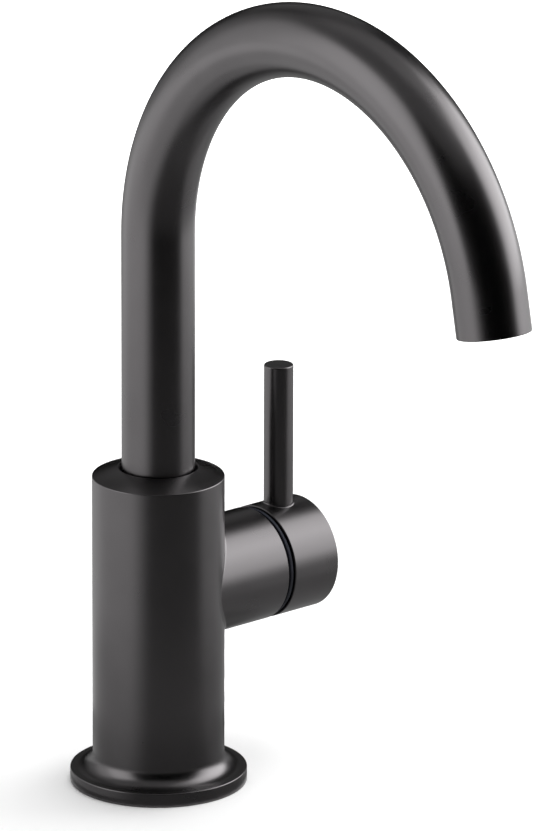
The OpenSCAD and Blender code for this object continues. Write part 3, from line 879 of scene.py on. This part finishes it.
FINISHES = {
    "black_finish": satin_black(),
    "brass": machined_brass(),
    "acetal": natural_acetal(),
    "black_acetal": black_acetal(),
    "rubber": black_rubber(),
    "stainless": stamped_stainless(),
    "ceramic": lapped_ceramic(),
}


def fit(piece, body, node, slot):
    """Gives a piece its finish, and seats it on the body and in the place of its CAD node"""
    piece.data.materials.append(FINISHES[slot])
    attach(piece, body)
    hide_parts(node)


fit(make_body(), "root", "body_shell", "black_finish")
fit(make_trim_ring(), "root", "handle_trim_ring", "black_acetal")
fit(make_shank(), "root", "mounting_shank", "brass")
fit(make_nut(), "root", "mounting_nut", "brass")
fit(make_inlet(), "root", "inlet_tube", "brass")
fit(make_washer("friction_washer_rubber", friction_z, -deck_t, edge_r), "root",
    "friction_washer", "rubber")
fit(make_washer("clamp_washer_steel", clamp_z, friction_z, small_edge_r), "root",
    "clamp_washer", "stainless")
fit(make_spout(), "spout", "spout_tube", "black_finish")
fit(make_outlet_insert(), "spout", "outlet_insert", "brass")
fit(make_aerator_shell(), "spout", "aerator_shell", "stainless")
fit(make_aerator_insert(), "spout", "aerator_insert", "acetal")
fit(make_barrel(), "handle", "handle_barrel", "black_finish")
fit(make_lever(), "handle", "lever_rod", "black_finish")

# The pieces that keep their CAD shape
KEPT = {
    "brass": ["waterway_core", "swivel_stub", "cartridge_housing", "cartridge_nut", "valve_stem"],
    "acetal": ["spout_thrust_washer", "spout_snap_ring"],
    "black_acetal": ["spout_guide_bush"],
    "rubber": ["deck_gasket", "inlet_o_ring", "seat_seal", "cartridge_o_ring",
               "upper_spout_o_ring", "lower_spout_o_ring", "aerator_seal",
               "inner_stem_o_ring", "outer_stem_o_ring"],
    "stainless": ["inlet_strainer", "handle_set_screw"],
    "ceramic": ["fixed_disc", "moving_disc"],
}
for slot, names in KEPT.items():
    for name in names:
        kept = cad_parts[name]
        kept.data.materials.clear()
        kept.data.materials.append(FINISHES[slot])


# Camera: the photograph's viewing angle
picture_h_px = 831
focal_px = 10122.58
sensor_mm = 36
sight_far = 50
camera_far = 3.04649
look_at = Vector((0.02464, -0.02176, 0.11591))
view_az = -41.45
view_el = 17.613
view_roll = math.radians(0.14)


def bearing(azimuth, elevation):
    """The way from the object towards a place at this azimuth and elevation, azimuth 0 being towards -Y
    and 90 towards +X
    """
    az, el = math.radians(azimuth), math.radians(elevation)
    return Vector((math.sin(az) * math.cos(el), -math.cos(az) * math.cos(el), math.sin(el)))


back = bearing(view_az, view_el)
right = Vector((math.cos(math.radians(view_az)), math.sin(math.radians(view_az)), 0))
up = back.cross(right)
right, up = (right * math.cos(view_roll) + up * math.sin(view_roll),
             up * math.cos(view_roll) - right * math.sin(view_roll))
camera = bpy.data.objects.new("camera", bpy.data.cameras.new("camera"))
bpy.context.scene.collection.objects.link(camera)
camera.data.sensor_fit = "VERTICAL"
camera.data.sensor_height = sensor_mm
camera.data.lens = focal_px * sensor_mm / picture_h_px
camera.data.clip_end = sight_far
camera.matrix_world = Matrix.Translation(look_at + back * camera_far) @ Matrix(
    (right, up, back)).transposed().to_4x4()
bpy.context.scene.camera = camera
bpy.context.scene.view_settings.view_transform = "Standard"


# Studio: a white sweep, a soft box on each side, and dark boards that give a dark metal its shape
def seen(tree):
    """1 for a ray that the eye, a gloss or a glass sends, 0 for the rest"""
    path = add(tree, "LightPath").node.outputs
    either = add(tree, "Math", {0: path["Is Camera Ray"], 1: path["Is Glossy Ray"]},
                 operation="MAXIMUM")
    return add(tree, "Math", {0: either, 1: path["Is Transmission Ray"]}, operation="MAXIMUM")


def stage_piece(name, points, faces, material):
    """A mesh that belongs to the studio and not to the object"""
    mesh = bpy.data.meshes.new(name)
    mesh.from_pydata(points, [], faces)
    mesh.materials.append(material)
    made = bpy.data.objects.new(name, mesh)
    bpy.context.scene.collection.objects.link(made)
    return made


def make_floor():
    """The sweep's floor. What the eye sees of it is lifted to white away from the shadow."""
    reach = 8.0
    lift = 0.07
    lift_from, lift_to = 0.25, 0.9
    made, tree, shader, place = blank("white_floor", Roughness=0.9)
    shader.inputs["Base Color"].default_value = linear("#f2f2f2")
    shader.inputs["Emission Color"].default_value = (1, 1, 1, 1)
    distance = add(tree, "VectorMath", {0: place}, operation="LENGTH").node.outputs["Value"]
    whiter = add(tree, "MapRange", {"Value": distance, "From Min": lift_from, "From Max": lift_to,
                                    "To Min": lift, "To Max": 1.0})
    share = add(tree, "Math", {0: seen(tree), 1: whiter}, operation="MULTIPLY")
    tree.links.new(share, shader.inputs["Emission Strength"])
    made.cycles.emission_sampling = "NONE"
    corners = [(-reach, -reach, 0), (reach, -reach, 0), (reach, reach, 0), (-reach, reach, 0)]
    stage_piece("floor", corners, [(0, 1, 2, 3)], made)


def make_world():
    dim = 0.15
    world = bpy.data.worlds.new("studio")
    world.use_nodes = True
    tree = world.node_tree
    strength = add(tree, "MapRange", {"Value": seen(tree), "To Min": dim, "To Max": 1.0})
    tree.links.new(strength, tree.nodes["Background"].inputs["Strength"])
    tree.nodes["Background"].inputs["Color"].default_value = (1, 1, 1, 1)
    world.cycles.sampling_method = "NONE"
    bpy.context.scene.world = world


def lamp(name, azimuth, elevation, width, height, watts):
    """A soft lamp for the floor and for whatever isn't metal. Gloss sees the boxes in its place."""
    far = 1.6
    light = bpy.data.lights.new(name, "AREA")
    light.shape = "RECTANGLE"
    light.size, light.size_y = width, height
    light.energy = watts
    made = bpy.data.objects.new(name, light)
    bpy.context.scene.collection.objects.link(made)
    away = bearing(view_az + azimuth, elevation)
    made.location = away * far
    made.rotation_euler = away.to_track_quat("Z", "Y").to_euler()
    made.visible_camera = False
    made.visible_glossy = False


def panel(name, place, first, last, low, high, radiance, soft):
    """A sheet of light or grey that only reflections show, from one azimuth to another and from
    low to high. It fades out at its edges over these shares of its width and height."""
    made = bpy.data.materials.new(name)
    made.use_nodes = True
    tree = made.node_tree
    tree.nodes.clear()
    light = add(tree, "Emission", {"Color": (1, 1, 1, 1), "Strength": radiance})
    clear = add(tree, "BsdfTransparent")
    fade = add(tree, "Attribute", attribute_name="fade").node.outputs["Fac"]
    add(tree, "OutputMaterial", {"Surface": add(tree, "MixShader", {0: fade, 1: clear, 2: light})})
    wide, tall = 30, 10
    shares = [(i / wide, k / tall) for k in range(tall + 1) for i in range(wide + 1)]
    points = [tuple(place(view_az + first + (last - first) * u, low + (high - low) * v))
              for u, v in shares]
    corners = [i + k * (wide + 1) for k in range(tall) for i in range(wide)]
    faces = [(c, c + 1, c + wide + 2, c + wide + 1) for c in corners]
    sheet = stage_piece(name, points, faces, made)
    shown = [[min(1, share / width, (1 - share) / width) if width else 1
              for share, width in zip(at, soft)] for at in shares]
    sheet.data.attributes.new("fade", "FLOAT", "POINT").data.foreach_set("value", [
        shown_u * shown_v for shown_u, shown_v in shown])
    made.cycles.emission_sampling = "NONE"
    sheet.visible_camera = False
    sheet.visible_diffuse = False
    sheet.visible_shadow = False


def tent(far):
    """Places on a round tent this far away, by azimuth and elevation"""
    return lambda azimuth, elevation: bearing(azimuth, elevation) * far


def lying(height):
    """Places this high over the floor, by azimuth and distance"""
    return lambda azimuth, distance: bearing(azimuth, 0) * distance + Vector((0, 0, height))


# Azimuth and elevation of each lamp, counted from the camera and to its right, its size and watts
LAMPS = {
    "low_lamp": (125, 12, 1.6, 0.6, 26),
    "top_lamp": (90, 75, 1.6, 1.6, 30),
    "back_lamp": (180, 45, 1.4, 1.4, 10),
}

# How far each panel stands, its azimuths, its elevations, its radiance and its share that fades
faded = (0.2, 0.2)
PANELS = {
    "left_soft_box": (1.65, -132, -40, -6, 51, 1.3, faded),
    "left_hot_spot": (1.6, -97, -43, -6, 53, 2.5, faded),
    "right_soft_box": (1.65, 68, 140, -6, 68, 4.0, faded),
    "right_hot_spot": (1.6, 87, 143, 2, 46, 5.3, faded),
    "dark_board": (1.85, -180, 180, 0, 65, 0.0, (0, 0)),
    "left_back_board": (1.75, -160, -43, -6, 58, 0.45, faded),
    "back_board": (1.75, 162, 206, 16, 64, 0.25, faded),
    "ceiling_board": (1.8, -180, 180, 50, 90, 0.65, (0, 0.2)),
    "front_ceiling_board": (1.78, -140, 60, 46, 88, 0.36, faded),
    "right_ceiling_board": (1.76, 50, 130, 60, 88, 0.95, faded),
}

# How bright the floor looks in the metal: azimuths, radiance from ring to ring and share that fades
FLOOR_RINGS = [0.028, 0.07, 0.16, 0.5, 1.8]
FLOOR_SECTORS = {
    "all_round": (-180, 180, (0.18, 0.3, 0.18, 0.0), (0, 0)),
    "back": (128, 228, (0.2, 0.2, 0.35, 0.0), (0.2, 0)),
    "back_right": (132, 176, (0.1, 0.43, 0.4, 1.1), (0.15, 0)),
    "back_left": (198, 240, (0.2, 0.8, 0.67, 0.5), (0.12, 0)),
    "left": (-149, -16, (0.5, 0.8, 1.2, 1.85), (0.2, 0)),
    "right": (70, 140, (0.3, 0.47, 0.7, 1.65), (0.2, 0)),
}
layer_t = 0.0003

make_floor()
make_world()
for name, setting in LAMPS.items():
    lamp(name, *setting)
for name, (far, *setting) in PANELS.items():
    panel(name, tent(far), *setting)
for layer, (sector, (first, last, greys, soft)) in enumerate(FLOOR_SECTORS.items()):
    for number, (near, far, grey) in enumerate(zip(FLOOR_RINGS, FLOOR_RINGS[1:], greys)):
        place = lying(layer_t * (layer + 1))
        panel(f"{sector}_{number}_board", place, first, last, near, far, grey, soft)
